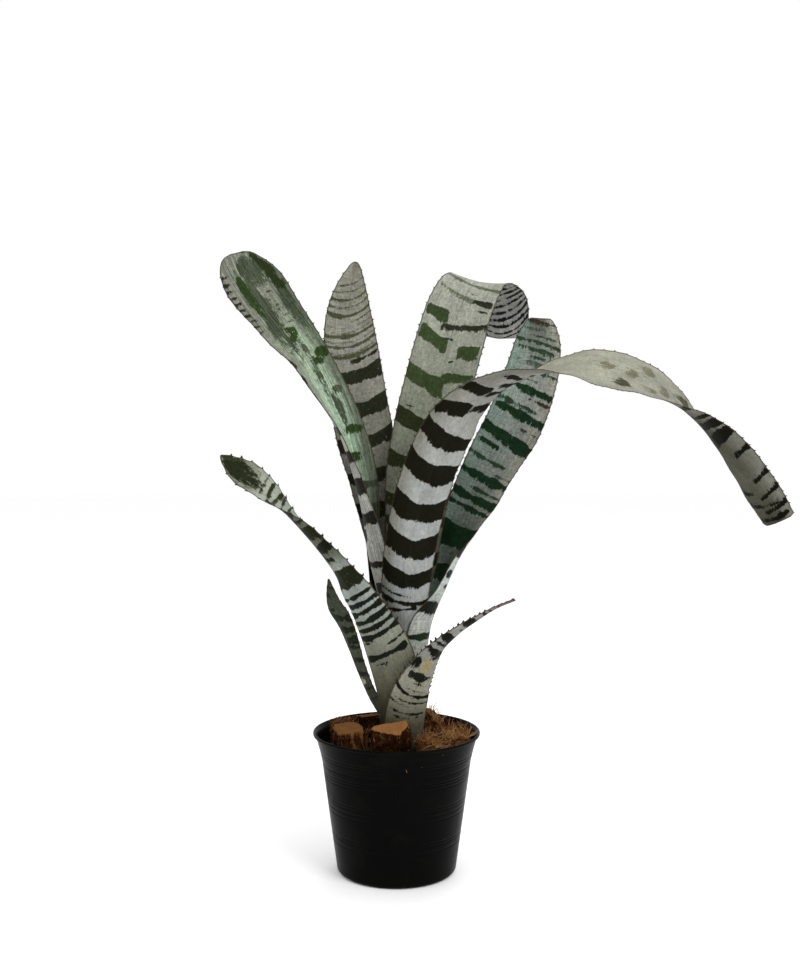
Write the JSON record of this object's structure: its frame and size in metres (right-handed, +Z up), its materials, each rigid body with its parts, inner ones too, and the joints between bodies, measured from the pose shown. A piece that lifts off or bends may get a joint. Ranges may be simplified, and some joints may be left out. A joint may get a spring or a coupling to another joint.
{
  "type": "potted bromeliad",
  "caption": "Vase-shaped bromeliad with silver and dark green banded strap leaves, growing in a round black plastic nursery pot topped with husk chips.",
  "frame": {"origin": "centre of the pot's flat underside", "axes": "+Z up, from the underside of the pot to the leaf tips; -Y is the front of the plant; +X is the side that the long arching leaf reaches to"},
  "size_m": [0.4948, 0.2071, 0.5636],
  "materials": {
    "black_plastic": "satin moulded plastic",
    "potting_mix": "crumbly",
    "stem": "fibrous",
    "leaf": "scurfy, banded, faint sheen",
    "husk": "rough, fibrous"
  },
  "bodies": {
    "root": {"pot": "black_plastic", "potting_mix": "potting_mix", "stem": "stem", "back_leaf": "leaf", "upper_left_leaf": "leaf", "back_left_leaf": "leaf", "front_arching_leaf": "leaf", "right_leaf": "leaf", "small_left_leaf": "leaf", "lower_left_leaf": "leaf", "lower_right_leaf": "leaf", "front_left_chip": "husk", "front_chip": "husk", "front_right_chip": "husk", "right_front_chip": "husk", "right_chip": "husk", "back_right_chip": "husk", "back_chip": "husk", "back_left_chip": "husk", "left_chip": "husk", "small_right_chip": "husk", "small_back_right_chip": "husk", "small_back_chip": "husk", "small_left_chip": "husk", "front_crumb": "husk", "left_crumb": "husk", "back_crumb": "husk"}
  },
  "joints": []
}
